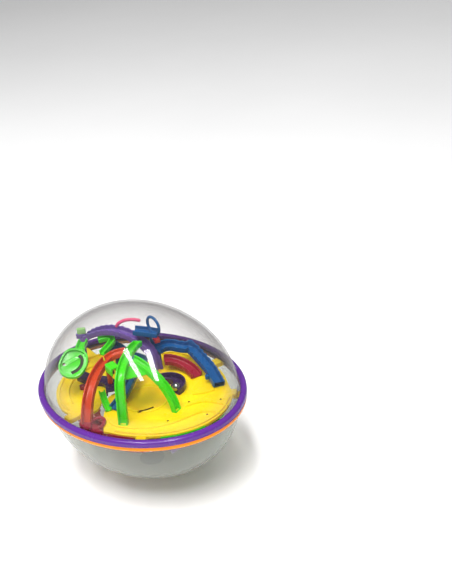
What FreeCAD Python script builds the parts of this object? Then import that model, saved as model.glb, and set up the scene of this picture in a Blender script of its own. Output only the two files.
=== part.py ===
import FreeCAD, Part
import math
import os
import Sketcher
from FreeCAD import Placement, Rotation, Vector

# Oval 3-D maze ball puzzle.  Two clear shells meet on the plane z = 0 and are clamped between an upper
# and a lower rim ring.  Inside, coloured tracks stand on two decks, and a steel ball rolls along them.
# Frame: origin at the centre of the oval, +X along its long axis, +Z up through the dome.  Millimetres.

doc = FreeCAD.newDocument("maze_ball")

# ---------------------------------------------------------------- driving dimensions

SIZES = [
    ("shell_long", 100.0),      # half length of the clear shell along X
    ("shell_short", 80.0),      # half width and half height of the clear shell
    ("shell_wall", 2.0),
    ("flange_reach", 4.0),      # how far the shell flanges stand out
    ("flange_thick", 1.6),
    ("ring_reach", 6.4),        # how far the upper ring stands out from the shell
    ("ring_lower_reach", 5.8),
    ("ring_top", 5.6),
    ("ring_bottom", 5.0),
    ("ring_gap", 0.25),         # clearance between ring and shell
    ("ring_round", 2.0),
    ("screw_circle", 3.0),      # distance of the screw axes outside the shell
    ("screw_shank", 2.0),
    ("screw_head", 4.2),
    ("foot_flat", 24.0),        # diameter of the standing flat under the bowl
    ("deck_thick", 2.4),
    ("deck_top", 3.0),
    ("kerb_tall", 1.6),
    ("kerb_wide", 1.4),
    ("track_wide", 11.0),
    ("track_tall", 6.0),
    ("track_wall", 1.4),
    ("track_floor", 1.6),
    ("narrow_wide", 6.0),
    ("narrow_tall", 4.0),
    ("deck_hole", 2.0),
    ("lug_wide", 9.0),
    ("lug_thick", 1.8),
    ("post_wide", 5.0),
    ("leg_wide", 8.5),
    ("low_tall", 5.0),
    ("chute_wide", 9.5),
    ("wing_tall", 8.0),
    ("web_thick", 1.8),
    ("ladle_tall", 4.6),
    ("drain_hole", 3.0),
    ("slot_wide", 2.8),
    ("rod_wide", 3.2),
    ("hoop_radius", 8.5),
    ("hoop_thick", 2.8),
    ("ball_wide", 8.0),
    ("ball_lift", 0.25),        # clearance under the ball
    ("curl_radius", 12.0),      # centre line of the curl that the ball rests in
    ("curl_clear", 0.35),       # clearance between the ball and the curl's walls
    ("curl_wall", 1.3),
    ("curl_tall", 6.5),
]

sheet = doc.addObject("Spreadsheet::Sheet", "Sizes")
for row, (alias, value) in enumerate(SIZES, start=1):
    sheet.set("A%d" % row, alias)
    sheet.set("B%d" % row, str(value))
    sheet.setAlias("B%d" % row, alias)
doc.recompute()

size = dict(SIZES)
PARTS = []          # the finished sub-parts, in the order they are made


def keep(obj, label):
    """Give a finished sub-part the name its file takes."""
    obj.Label = label
    PARTS.append(obj)
    return obj


def bind(obj, **expressions):
    """Tie an object's properties to cells of the sheet."""
    for name, expression in expressions.items():
        obj.setExpression(name, expression)
    return obj


# ---------------------------------------------------------------- paths of straight runs and tangent arcs

def rounded_path(points, most=None):
    """Edges of a path through the points: straight runs with the largest tangent arcs that fit between."""
    points = [Vector(*p) if len(p) == 3 else Vector(p[0], p[1], 0) for p in points]
    edges = []
    at = points[0]
    for before, corner, after in zip(points, points[1:], points[2:]):
        to_before = (before - corner)
        to_after = (after - corner)
        reach = 0.45 * min(to_before.Length, to_after.Length)
        to_before.normalize()
        to_after.normalize()
        half_turn = 0.5 * (math.pi - to_before.getAngle(to_after))
        if half_turn < 0.01:
            continue
        if most is not None:
            reach = min(reach, most * math.tan(half_turn))
        radius = reach / math.tan(half_turn)
        start = corner + to_before * reach
        end = corner + to_after * reach
        middle = to_before + to_after
        middle.normalize()
        middle = corner + middle * (math.hypot(radius, reach) - radius)
        edges.append(Part.LineSegment(at, start))
        edges.append(Part.Arc(start, middle, end))
        at = end
    edges.append(Part.LineSegment(at, points[-1]))
    return edges


def ribbon(points, wide, most=None):
    """Closed outline of a strip of constant width that follows a rounded path in the plane z = 0."""
    up = Vector(0, 0, 1)
    sides = []
    for side in (0.5 * wide, -0.5 * wide):
        edges = []
        for piece in rounded_path(points, most):
            ends = []
            for u in (piece.FirstParameter, 0.5 * (piece.FirstParameter + piece.LastParameter),
                      piece.LastParameter):
                along = piece.tangent(u)[0]
                ends.append(piece.value(u) + up.cross(along).normalize() * side)
            edges.append(ends)
        sides.append(edges)
    left, right = sides

    def curve(ends):
        chord = ends[2] - ends[0]
        sag = (ends[1] - ends[0]).cross(chord).Length / chord.Length
        if sag < 1e-6:
            return Part.LineSegment(ends[0], ends[2])
        return Part.Arc(*ends)

    outline = [curve(ends) for ends in left]
    outline.append(Part.LineSegment(left[-1][2], right[-1][2]))
    outline += [curve(list(reversed(ends))) for ends in reversed(right)]
    outline.append(Part.LineSegment(right[0][0], left[0][0]))
    return outline


def closed_outline(points):
    """A closed outline of straight runs with a tangent arc at every corner but the first."""
    return rounded_path(list(points) + [points[0]])


# ---------------------------------------------------------------- PartDesign helpers

def new_body(name):
    return doc.addObject("PartDesign::Body", name)


def plane(body, role):
    for feature in body.Origin.OriginFeatures:
        if feature.Role == role:
            return feature
    raise ValueError(role)


def new_sketch(body, name, role="XY_Plane", offset=0.0):
    sketch = body.newObject("Sketcher::SketchObject", name)
    sketch.AttachmentSupport = [(plane(body, role), "")]
    sketch.MapMode = "FlatFace"
    if offset:
        sketch.AttachmentOffset = Placement(Vector(0, 0, offset), Rotation())
    return sketch


def pad(body, sketch, name, length, down=False):
    """A pad whose length is a cell name, an expression or a number."""
    feature = body.newObject("PartDesign::Pad", name)
    feature.Profile = sketch
    feature.Reversed = down
    if isinstance(length, str):
        feature.setExpression("Length", length)
    else:
        feature.Length = length
    return feature


def pocket(body, sketch, name, through=True, depth=1.0):
    feature = body.newObject("PartDesign::Pocket", name)
    feature.Profile = sketch
    if through:
        feature.Type = "ThroughAll"
        feature.Midplane = True
    else:
        feature.Length = depth
    return feature


def add_circle(sketch, x, y, diameter_cell, name):
    """A circle whose diameter comes from a cell and whose centre is fixed."""
    circle = Part.Circle(Vector(x, y, 0), Vector(0, 0, 1), size[diameter_cell] / 2)
    index = sketch.addGeometry(circle)
    tag = sketch.addConstraint(Sketcher.Constraint("Diameter", index, size[diameter_cell]))
    sketch.renameConstraint(tag, name)
    sketch.setExpression("Constraints." + name, "Sizes." + diameter_cell)
    return index


def channel_section(sketch, wide, tall, wall, floor, opens):
    """A U section, centred on the sketch's origin, fully constrained to the named cells.

    opens is +1 or -1: which way along the sketch's vertical axis the channel is open."""
    w = 0.5 * size[wide]
    h = 0.5 * size[tall] * opens
    t = size[wall]
    f = size[floor] * opens
    corners = [(-w, -h), (w, -h), (w, h), (w - t, h), (w - t, f - h), (t - w, f - h), (t - w, h), (-w, h)]
    ends = [Vector(x, y, 0) for x, y in corners]
    lines = [sketch.addGeometry(Part.LineSegment(a, b)) for a, b in zip(ends, ends[1:] + ends[:1])]
    rules = [Sketcher.Constraint("Coincident", a, 2, b, 1) for a, b in zip(lines, lines[1:] + lines[:1])]
    rules += [Sketcher.Constraint("Horizontal", lines[i]) for i in (0, 2, 4, 6)]
    rules += [Sketcher.Constraint("Vertical", lines[i]) for i in (1, 3, 5, 7)]
    rules += [
        Sketcher.Constraint("Symmetric", lines[0], 1, lines[1], 2, -1, 1),
        Sketcher.Constraint("Equal", lines[2], lines[6]),
        Sketcher.Constraint("Equal", lines[1], lines[7]),
    ]
    sketch.addConstraint(rules)
    named = [
        ("wide", Sketcher.Constraint("Distance", lines[0], size[wide]), wide),
        ("tall", Sketcher.Constraint("Distance", lines[1], size[tall]), tall),
        ("wall", Sketcher.Constraint("Distance", lines[2], size[wall]), wall),
    ]
    depth = size[tall] - size[floor]
    for name, rule, cell in named:
        tag = sketch.addConstraint(rule)
        sketch.renameConstraint(tag, name)
        sketch.setExpression("Constraints." + name, "Sizes." + cell)
    tag = sketch.addConstraint(Sketcher.Constraint("Distance", lines[3], depth))
    sketch.renameConstraint(tag, "depth")
    sketch.setExpression("Constraints.depth", "Sizes.%s - Sizes.%s" % (tall, floor))


def swept_track(name, points, origin, along, normal, opens, wide="track_wide", tall="track_tall",
                wall="track_wall", floor="track_floor", side=False):
    """A U channel swept along a path that lies in one plane.

    points are in that plane, whose first axis is along and whose normal is given.  The body's own X axis
    follows the first run, so the section stands on its YZ plane.  With side=False the channel is open
    along the plane's normal, as a track that curves on the flat.  With side=True it is open within the
    plane, as an arch."""
    along = Vector(*along)
    normal = Vector(*normal)
    normal.normalize()
    along = (along - normal * along.dot(normal))
    along.normalize()
    across = normal.cross(along)
    first = Vector(*points[0], 0)
    run = Vector(*points[1], 0) - first
    run.normalize()
    turned = [(Vector(*p, 0) - first) for p in points]
    local = [(p.dot(run), p.dot(Vector(-run.y, run.x, 0))) for p in turned]
    body = new_body(name)
    path = new_sketch(body, name + "_path", "XY_Plane")
    path.addGeometry(rounded_path(local))
    section = new_sketch(body, name + "_section", "YZ_Plane")
    if side:
        section.AttachmentOffset = Placement(Vector(), Rotation(Vector(0, 0, 1), 90))
    channel_section(section, wide, tall, wall, floor, opens)
    pipe = body.newObject("PartDesign::AdditivePipe", name + "_sweep")
    pipe.Profile = section
    pipe.Spine = path
    pipe.Transition = "Transformed"
    x_axis = along * run.x + across * run.y
    y_axis = normal.cross(x_axis)
    start = Vector(*origin) + along * first.x + across * first.y
    body.Placement = Placement(start, Rotation(x_axis, y_axis, normal, "XYZ"))
    return body


def primitive(kind, name, **expressions):
    return bind(doc.addObject(kind, name), **expressions)


def boolean(kind, name, base, tool):
    obj = doc.addObject(kind, name)
    obj.Base = base
    obj.Tool = tool
    return obj


def common(name, *shapes):
    obj = doc.addObject("Part::MultiCommon", name)
    obj.Shapes = list(shapes)
    return obj


def fuse(name, *shapes):
    obj = doc.addObject("Part::MultiFuse", name)
    obj.Shapes = list(shapes)
    return obj


def oval_plate(name, reach, low, high):
    """A flat oval plate, larger than the shell by an expression, between two heights."""
    oval = primitive("Part::Ellipse", name + "_oval", MajorRadius="Sizes.shell_long + " + reach,
                     MinorRadius="Sizes.shell_short + " + reach)
    oval.setExpression("Placement.Base.z", low)
    plate = doc.addObject("Part::Extrusion", name)
    plate.Base = oval
    plate.DirMode = "Custom"
    plate.Dir = Vector(0, 0, 1)
    plate.setExpression("LengthFwd", "%s - (%s)" % (high, low))
    plate.Solid = True
    return plate


def oval_solid(name, shrink):
    """The oval of the shell, smaller by an expression."""
    return primitive("Part::Ellipsoid", name, Radius1="Sizes.shell_short - " + shrink,
                     Radius2="Sizes.shell_long - " + shrink, Radius3="Sizes.shell_short - " + shrink)


# ---------------------------------------------------------------- clear shells

def half_shell(label, side):
    """One clear shell, side +1 for the dome and -1 for the bowl, with its rim flange."""
    word = "dome" if side > 0 else "bowl"
    outside = oval_solid(word + "_outside", "0")
    inside = oval_solid(word + "_inside", "Sizes.shell_wall")
    levels = ("0", "Sizes.flange_thick") if side > 0 else ("-Sizes.flange_thick", "0")
    flange = oval_plate(word + "_flange", "Sizes.flange_reach", *levels)
    solids = [outside, flange]
    if side < 0:
        foot = primitive("Part::Cylinder", "foot_disc", Radius="Sizes.foot_flat / 2", Height="1")
        foot.setExpression("Placement.Base.z", "-Sizes.shell_short")
        solids.append(foot)
    body = fuse(word + "_solid", *solids)
    hollow = boolean("Part::Cut", word + "_hollow", body, inside)
    half = primitive("Part::Box", word + "_half", Length="2.5 * Sizes.shell_long",
                     Width="2.5 * Sizes.shell_short", Height="1.2 * Sizes.shell_short")
    half.setExpression("Placement.Base.x", "-1.25 * Sizes.shell_long")
    half.setExpression("Placement.Base.y", "-1.25 * Sizes.shell_short")
    half.setExpression("Placement.Base.z", "0" if side > 0 else "-1.2 * Sizes.shell_short")
    return common(word + "_shell", hollow, half)


SCREWS = 6
FIRST_SCREW = 15.0          # degrees round the oval
LUG_ANGLES = {"main": (-51.0, 33.0, 71.0), "left": (-100.0, 170.0)}
NOTCH_START = -4.0          # a notch runs through the bowl's wall, from inside it ...
NOTCH_LONG = 6.2            # ... to just outside it


def rim_point(angle, reach):
    """Point and outward direction on the rim, at a parameter angle of the oval, moved out by a reach."""
    a, b = size["shell_long"], size["shell_short"]
    turn = math.radians(angle)
    at = Vector(a * math.cos(turn), b * math.sin(turn), 0)
    out = Vector(b * math.cos(turn), a * math.sin(turn), 0)
    out.normalize()
    return at + out * reach, out


def screw_places():
    """Places of the rim screws, evenly spaced along the oval's parameter."""
    angles = [FIRST_SCREW + 360.0 / SCREWS * n for n in range(SCREWS)]
    return [rim_point(angle, size["screw_circle"])[0] for angle in angles]


def screw_cylinders(name, diameter, low, high):
    """Upright cylinders at every screw place, between two heights given by expressions."""
    cylinders = []
    for n, at in enumerate(screw_places()):
        one = primitive("Part::Cylinder", "%s_%d" % (name, n), Radius=diameter + " / 2",
                        Height="%s - (%s)" % (high, low))
        one.Placement.Base = at
        one.setExpression("Placement.Base.z", low)
        cylinders.append(one)
    return fuse(name, *cylinders)


def lug_notches(name, angles):
    """Blocks that clear the deck lugs where they lie in the bowl's rim."""
    blocks = []
    for n, angle in enumerate(angles):
        at, out = rim_point(angle, NOTCH_START)
        block = primitive("Part::Box", "%s_%d" % (name, n), Length=str(NOTCH_LONG),
                          Width="Sizes.lug_wide + 0.3", Height="Sizes.lug_thick + 0.1")
        across = Vector(-out.y, out.x, 0)
        corner = at - across * (0.5 * size["lug_wide"] + 0.15)
        corner.z = -size["lug_thick"]
        block.Placement = Placement(corner, Rotation(out, across, Vector(0, 0, 1), "XYZ"))
        blocks.append(block)
    return fuse(name, *blocks)


dome_holes = screw_cylinders("dome_holes", "(Sizes.screw_shank + 0.6)", "-1", "Sizes.flange_thick + 1")
keep(boolean("Part::Cut", "upper_shell_cut", half_shell("upper_shell", 1), dome_holes), "upper_shell")

bowl_holes = screw_cylinders("bowl_holes", "(Sizes.screw_shank + 0.6)", "-Sizes.flange_thick - 1", "1")
notches = lug_notches("lug_notches", LUG_ANGLES["main"] + LUG_ANGLES["left"])
bowl_cut = boolean("Part::Cut", "lower_shell_drilled", half_shell("lower_shell", -1), bowl_holes)
keep(boolean("Part::Cut", "lower_shell_cut", bowl_cut, notches), "lower_shell")


# ---------------------------------------------------------------- rim rings and their screws

def rim_ring(word, side, reach, height):
    """A ring that grips the flange of one shell; its recess leaves a lip that meets the other ring."""
    def levels(low, high):
        return (low, high) if side > 0 else ("-(%s)" % high, "-(%s)" % low)
    block = oval_plate(word + "_block", reach, *levels("0", height))
    bore = oval_plate(word + "_bore", "Sizes.ring_gap", *levels("-1", height + " + 1"))
    recess = oval_plate(word + "_recess", "Sizes.flange_reach + 0.2", *levels("-1", "Sizes.flange_thick"))
    tube = boolean("Part::Cut", word + "_tube", boolean("Part::Cut", word + "_open", block, bore), recess)
    doc.recompute()
    rounded = doc.addObject("Part::Fillet", word + "_round")
    rounded.Base = tube
    top = side * (size["ring_top"] if side > 0 else size["ring_bottom"])
    edges = []
    for number, edge in enumerate(tube.Shape.Edges, start=1):
        if abs(edge.BoundBox.ZMin - top) < 0.01 and abs(edge.BoundBox.ZMax - top) < 0.01:
            edges.append((number, size["ring_round"], size["ring_round"]))
    rounded.Edges = edges
    return rounded


pilot = screw_cylinders("pilot_holes", "Sizes.screw_shank", "0", "Sizes.ring_top - 1.4")
upper_block = rim_ring("upper", 1, "Sizes.ring_reach", "Sizes.ring_top")
keep(boolean("Part::Cut", "upper_ring_cut", upper_block, pilot), "upper_ring")

clearance = screw_cylinders("clear_holes", "(Sizes.screw_shank + 0.3)", "-Sizes.ring_bottom - 1", "1")
sinks = screw_cylinders("screw_sinks", "(Sizes.screw_head + 0.3)", "-Sizes.ring_bottom - 1",
                        "-Sizes.ring_bottom + 1.8")
lower_block = rim_ring("lower", -1, "Sizes.ring_lower_reach", "Sizes.ring_bottom")
lower_drilled = boolean("Part::Cut", "lower_drilled", lower_block, clearance)
keep(boolean("Part::Cut", "lower_ring_cut", lower_drilled, sinks), "lower_ring")

shanks = screw_cylinders("shanks", "Sizes.screw_shank", "-Sizes.ring_bottom + 1.0", "Sizes.ring_top - 1.6")
heads = screw_cylinders("heads", "Sizes.screw_head", "-Sizes.ring_bottom + 0.3", "-Sizes.ring_bottom + 1.8")
keep(fuse("screws", shanks, heads), "ring_screws")


# ---------------------------------------------------------------- decks

def oval_points(long, short, start, end, step):
    """Corners of a polygon about an oval; its rounded path lies just inside the oval."""
    count = int(round(abs(end - start) / step))
    angles = [math.radians(start + (end - start) * n / count) for n in range(count + 1)]
    return [(long * math.cos(a), short * math.sin(a)) for a in angles]


ARM_END = -3.0              # the arms of a deck stop this far from the outside of the shell ...
LUG_START = -7.0            # ... and the thin lugs under them run on into the bowl's rim
LUG_END = 0.1
ARM_STEP = 0.4              # the arms lie this far below the deck's top
ARM_STARTS = {-51.0: -12.0, 33.0: -16.0, 71.0: -18.0, -100.0: -16.0, 170.0: -24.0}


def deck_strip(body, name, line, wide, low, length):
    """A strip of a deck, padded up from a height."""
    strip = new_sketch(body, name, offset=low)
    strip.addGeometry(ribbon(line, wide))
    pad(body, strip, name + "_pad", length)


def deck(label, outline, kerbs, lug_angles, holes=(), slots=(), dish=None):
    """A flat moulded deck: plate, kerbs that guide the ball, lugs that the shells clamp, and openings."""
    body = new_body(label + "_body")
    low = size["deck_top"] - size["deck_thick"]
    plate = new_sketch(body, label + "_outline", offset=low)
    plate.addGeometry(closed_outline(outline))
    pad(body, plate, label + "_plate", "Sizes.deck_thick")
    for n, points in enumerate(kerbs):
        deck_strip(body, "%s_kerb_%d" % (label, n), points, size["kerb_wide"], low,
                   "Sizes.deck_thick + Sizes.kerb_tall")
    for n, angle in enumerate(lug_angles):
        arm = [rim_point(angle, reach)[0] for reach in (ARM_STARTS[angle], ARM_END)]
        lug = [rim_point(angle, reach)[0] for reach in (LUG_START, LUG_END)]
        under = -size["lug_thick"]
        deck_strip(body, "%s_arm_%d" % (label, n), arm, size["lug_wide"], under,
                   size["deck_top"] - ARM_STEP - under)
        deck_strip(body, "%s_lug_%d" % (label, n), lug, size["lug_wide"], under, -under)
    if dish:
        x, y, diameter, depth = dish
        round_sketch = new_sketch(body, label + "_dish", offset=size["deck_top"] - depth)
        round_sketch.addGeometry(Part.Circle(Vector(x, y, 0), Vector(0, 0, 1), diameter / 2))
        cut = pocket(body, round_sketch, label + "_dish_cut", through=False, depth=10.0)
        cut.Reversed = True
    if holes:
        drilled = new_sketch(body, label + "_holes")
        for n, (x, y) in enumerate(holes):
            add_circle(drilled, x, y, "deck_hole", "hole_%d" % n)
        pocket(body, drilled, label + "_drill")
    for n, (points, wide) in enumerate(slots):
        slot = new_sketch(body, "%s_slot_%d" % (label, n))
        slot.addGeometry(ribbon(points, wide))
        pocket(body, slot, "%s_slot_cut_%d" % (label, n))
    return keep(body, label)


DISH = (22.0, -14.0, 40.0, 1.0)      # x, y, diameter and depth of the shallow dish

main_outline = oval_points(95.0, 73.0, -74, 30, 13) + [
    (66, 47), (54, 56), (38, 63), (20, 66), (0, 66), (-16, 61), (-26, 50), (-26, 34), (-16, 18), (-9, 2),
    (-8, -16), (-12, -31), (0, -43), (7, -53)]
main_kerbs = [
    oval_points(92.2, 70.2, -68, 26, 13.5),
    [(10, -52), (18, -57), (28, -60), (43, -54.5), (58, -43), (68, -30), (73, -15), (77, -2), (84, 4.5),
     (93, 7)],
    [(60, -3), (62, 3), (67, 11), (75, 16), (84, 18.5), (91, 19)],
    [(52, 15), (59, 22), (64, 32)],
    [(-22, 49), (-16, 57), (0, 61.5), (20, 60), (34, 55)],
    [(2, -8), (0, -18), (4, -29), (12, -37)],
]
main_deck = deck("main_deck", main_outline, main_kerbs, LUG_ANGLES["main"],
                 holes=[(57, 5), (78, 24), (84, 0), (62, -27)],
                 slots=[([(30, -33), (33, -29), (35, -24), (36.5, -19)], 2.6)], dish=DISH)


def edge_rail(name, start, end, low, high):
    """A low curved rail that stands against the rim edge of the main deck."""
    body = new_body(name + "_body")
    line = new_sketch(body, name + "_line", offset=low)
    line.addGeometry(ribbon(oval_points(95.6, 73.6, start, end, 6), size["kerb_wide"]))
    pad(body, line, name + "_pad", high - low)
    return keep(boolean("Part::Cut", name + "_seat", body, main_deck), name)


edge_rail("green_edge_rail", -40, -10, -3.0, 2.4)
edge_rail("red_edge_rail", -71, -56, -4.0, 1.6)

left_outline = [
    (-10, -62), (-18, -70), (-30, -70), (-46, -63), (-61, -51), (-73, -34), (-81, -14), (-81, 6), (-72, 21),
    (-57, 28), (-42, 25), (-31, 14), (-24, -2), (-20, -18), (-17, -33), (-7, -43), (-2, -54)]
left_kerbs = [
    [(-24, -67), (-34, -65), (-46, -60), (-59, -48.5), (-70, -33), (-77.5, -14), (-77.5, 4), (-70, 17)],
    [(-29, -58), (-42, -52), (-53, -42), (-61, -28), (-64, -12), (-60, 2), (-50, 10)],
]
left_deck = deck("left_deck", left_outline, left_kerbs, LUG_ANGLES["left"])


# ---------------------------------------------------------------- tracks of the upper maze

Z = Vector(0, 0, 1)


def arch(name, start, heading, points, opens=-1, **sizes):
    """A channel in an upright plane: points are distance along the heading and height."""
    along = Vector(*heading, 0)
    return swept_track(name, points, (start[0], start[1], 0), tuple(along), tuple(along.cross(Z)), opens,
                       side=True, **sizes)


def ramp(name, points, low_point, high_point, opens=1, **sizes):
    """A channel that bends on the flat in a sloping plane.

    points are plan positions; the plane falls evenly from high_point to low_point (each x, y, z)."""
    low = Vector(*low_point)
    high = Vector(*high_point)
    fall = high - low
    level = Vector(-fall.y, fall.x, 0)
    normal = level.cross(fall).normalize()
    if normal.z < 0:
        normal = -normal
    along = Vector(fall)
    along.normalize()
    across = normal.cross(along)
    in_plane = []
    for x, y in points:
        z = low.z - (normal.x * (x - low.x) + normal.y * (y - low.y)) / normal.z
        offset = Vector(x, y, z) - low
        in_plane.append((offset.dot(along), offset.dot(across)))
    return swept_track(name, in_plane, tuple(low), tuple(along), tuple(normal), opens, **sizes)


def seated(label, track, *others):
    """A track whose feet are cut to stand on the pieces below it."""
    result = track
    for n, other in enumerate(others):
        result = boolean("Part::Cut", "%s_seat_%d" % (label, n), result, other)
    return keep(result, label)


def plain(label, track):
    return keep(track, label)


def flat_piece(name, outline, low, high):
    """A flat piece with a rounded outline between two heights."""
    body = new_body(name)
    sketch = new_sketch(body, name + "_outline", offset=low)
    sketch.addGeometry(closed_outline(outline))
    pad(body, sketch, name + "_pad", high - low)
    return body


# the green wishbone: a tall arch with a branch that comes down on the right
wishbone_path = [(-5.5, 1.5), (-3, 16), (-1.2, 30), (1.8, 40), (9, 46.5), (22, 49.5), (38, 49), (52, 46.5),
                 (66, 42)]
wishbone = arch("wishbone", (30, -48), (-0.53, 0.85), wishbone_path, wide="leg_wide", tall="low_tall")
seated("green_arch", wishbone, main_deck)

branch_path = [(-0.3, 1.6), (1.6, 11.5), (6, 21), (12, 29), (19, 35.5), (27, 41), (35.7, 45), (41.2, 46.3)]
branch = arch("branch", (57, -11), (-0.982, -0.191), branch_path, wide="leg_wide", tall="low_tall")
seated("green_branch", branch, main_deck, wishbone)

WEB_OUTLINE = [(1.2, -0.2), (5, 0.2), (10, 0.5), (15, 1.4), (20, 2.1), (25, 3.0), (26.8, 4.2), (23.4, 7.8),
               (20, 10.4), (17, 13.5), (11, 13), (5.5, 7.5), (1.8, 2)]
WEB_CORNER = Vector(27.2, -43.0, 41.5)      # where the web meets the tall leg
WEB_FOOT = Vector(38.3, -14.6, 33.5)        # where it meets the short leg, low down
WEB_HEAD = Vector(29.0, -16.4, 39.5)        # and higher up


def web(name, outline):
    """A flat plate in the plane through the two legs; the outline is measured along and across it."""
    along = (WEB_FOOT - WEB_CORNER).normalize()
    normal = along.cross(WEB_HEAD - WEB_CORNER).normalize()
    body = flat_piece(name, outline, -0.5 * size["web_thick"], 0.5 * size["web_thick"])
    body.Placement = Placement(WEB_CORNER, Rotation(along, normal.cross(along), normal, "XYZ"))
    return body


seated("green_web", web("web_plate", WEB_OUTLINE), wishbone, branch)

# the orange chute climbs from a plate at the front rim, levels out and turns right at the back
foot_outline = [(-2, -66), (-2, -76.5), (12, -76.5), (22, -75), (27, -72), (20, -68)]
foot_plate = flat_piece("foot_plate", foot_outline, -1.5, 3.2)
seated("crimson_foot", foot_plate, main_deck)
chute_path = [(-1, 1), (3, 10), (9.5, 20.5), (18, 28), (30, 33), (44, 34.5), (58, 33)]
chute = arch("chute", (5, -71), (-0.427, 0.904), chute_path, wide="chute_wide")
seated("orange_chute", chute, foot_plate)
landing_path = [(-20.2, -17.6), (-20, -11), (-16.5, -6), (-12, -3)]
landing = ramp("landing", landing_path, (-20.2, -17.6, 33.0), (-12, -3, 35.5), wide="chute_wide",
               tall="low_tall")
seated("orange_landing", landing, chute)

# the purple arch spans from the ladle at the left to the main deck
purple_path = [(-3, 28), (4, 34.5), (16, 40.5), (28, 43), (39, 42.5), (49, 39.5), (58.5, 34.5), (66, 27),
               (70.5, 17), (72.5, 1.5)]
purple = arch("purple", (-70, 0), (80, 30), purple_path)
seated("purple_arch", purple, main_deck)

# the blue zigzag runs down the back to the right
zigzag_path = [(64, 38), (56, 42), (44, 48), (30, 52), (19, 55), (12, 56.5), (6, 50), (-2, 45.5), (-6, 39),
               (-6, 31)]
zigzag = ramp("zigzag", zigzag_path, (64, 38, 6.0), (-6, 31, 23.5))
seated("blue_zigzag", zigzag, main_deck)

# the crimson arc lies inside the blue one
crimson_path = [(36, 38), (28, 40.5), (20, 41), (12, 39.5), (5.5, 36), (2, 31)]
crimson = ramp("crimson", crimson_path, (36, 38, 5.5), (2, 31, 14.5), tall="low_tall")
seated("crimson_arc", crimson, main_deck)

# the teal chute comes down between the green legs, and its trough lies behind them
teal = ramp("teal", [(11, -44), (9, -30), (2, -12), (-6, 3)], (11, -44, 6.0), (-6, 3, 20.0),
            wide="leg_wide", tall="low_tall")
seated("teal_chute", teal, main_deck)
trough_path = [(-7, 16), (-17, 13), (-26, 9), (-36, 11), (-49, 9)]
trough = ramp("trough", trough_path, (-7, 16, 17.0), (-49, 9, 26.0))
plain("teal_trough", trough)

# the small green channels left of the wishbone
gutter = ramp("gutter", [(8, -47), (-1, -43), (-11, -37)], (8, -47, 4.5), (-11, -37, 12.0),
              wide="narrow_wide", tall="narrow_tall")
seated("green_gutter", gutter, main_deck, left_deck, teal)
wing = ramp("wing", [(17.6, -39.7), (13, -38.8), (7, -37.5)], (17.6, -39.7, 45.0), (7, -37.5, 45.6),
            wide="leg_wide", tall="wing_tall")
seated("green_side_channel", wing, wishbone)
hook = ramp("hook", [(-52, 0), (-48.5, 6), (-41, 9.5), (-37, 1), (-34, -12)], (-34, -12, 31.5),
            (-48.5, 6, 34.5), wide="narrow_wide", tall="low_tall")
seated("green_hook", hook, purple)


# ---------------------------------------------------------------- the ladle at the left

LADLE_AT = Vector(-42, -39.5, 31)
LADLE_NORMAL = Vector(0.446, -0.361, 0.819)
LADLE_RIGHT = Vector(0.738, 0.667, 0)


LADLE_RIM = [(13.1, 3.0), (13.1, 7.4), (9.3, 12.5), (1.7, 15.2), (-6.7, 13.9), (-12.2, 4.4), (-13.9, -3.7),
             (-11.7, -10.1), (-4.2, -14.5), (3.4, -14.5), (9.3, -9.1), (13.1, -1.1)]
LADLE_GROOVE = [(4.8, 8.2), (7.8, 5.0), (7.4, -1.1), (3.6, -6.4), (-1.8, -8.8)]
WELL_SHARE = 0.87           # size of the well against the rim
GROOVE_FLOOR = 0.6          # what is left under the groove


def ladle():
    """A tilted dish with a rim wall, a curved groove and a drain hole."""
    body = new_body("ladle_body")
    plate = new_sketch(body, "ladle_outline")
    plate.addGeometry(closed_outline(LADLE_RIM))
    pad(body, plate, "ladle_plate", "Sizes.ladle_tall")
    well = new_sketch(body, "ladle_well", offset=size["track_floor"])
    well.addGeometry(closed_outline([(WELL_SHARE * x, WELL_SHARE * y) for x, y in LADLE_RIM]))
    hollow = pocket(body, well, "ladle_well_cut", through=False, depth=20.0)
    hollow.Reversed = True
    groove = new_sketch(body, "ladle_groove", offset=GROOVE_FLOOR)
    groove.addGeometry(ribbon(LADLE_GROOVE, size["slot_wide"]))
    cut = pocket(body, groove, "ladle_groove_cut", through=False, depth=20.0)
    cut.Reversed = True
    drain = new_sketch(body, "ladle_drain")
    add_circle(drain, -8.8, 0.0, "drain_hole", "drain")
    pocket(body, drain, "ladle_drain_cut")
    normal = Vector(LADLE_NORMAL).normalize()
    right = (LADLE_RIGHT - normal * LADLE_RIGHT.dot(normal)).normalize()
    body.Placement = Placement(LADLE_AT, Rotation(right, normal.cross(right), normal, "XYZ"))
    return body


ladle_body = ladle()
keep(ladle_body, "green_ladle")
feeder = ramp("feeder", [(-47, -26), (-55, -20), (-63, -9)], (-47, -26, 35.0), (-63, -9, 34.0),
              wide="leg_wide", tall="low_tall")
seated("green_feeder", feeder, ladle_body, purple)


# ---------------------------------------------------------------- loops, hoop and small pieces

def bent_rod(name, points, origin, along, normal, diameter):
    """A round rod bent in one plane, which the origin and two directions give."""
    body = new_body(name)
    path = new_sketch(body, name + "_line", "XY_Plane")
    along = Vector(*along).normalize()
    normal = Vector(*normal).normalize()
    across = normal.cross(along)
    first = Vector(*points[0], 0)
    run = (Vector(*points[1], 0) - first).normalize()
    turned = [(Vector(*p, 0) - first) for p in points]
    path.addGeometry(rounded_path([(p.dot(run), p.dot(Vector(-run.y, run.x, 0))) for p in turned]))
    section = new_sketch(body, name + "_round", "YZ_Plane")
    add_circle(section, 0, 0, diameter, "diameter")
    pipe = body.newObject("PartDesign::AdditivePipe", name + "_sweep")
    pipe.Profile = section
    pipe.Spine = path
    x_axis = along * run.x + across * run.y
    start = Vector(*origin) + along * first.x + across * first.y
    body.Placement = Placement(start, Rotation(x_axis, normal.cross(x_axis), normal, "XYZ"))
    return body


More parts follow.
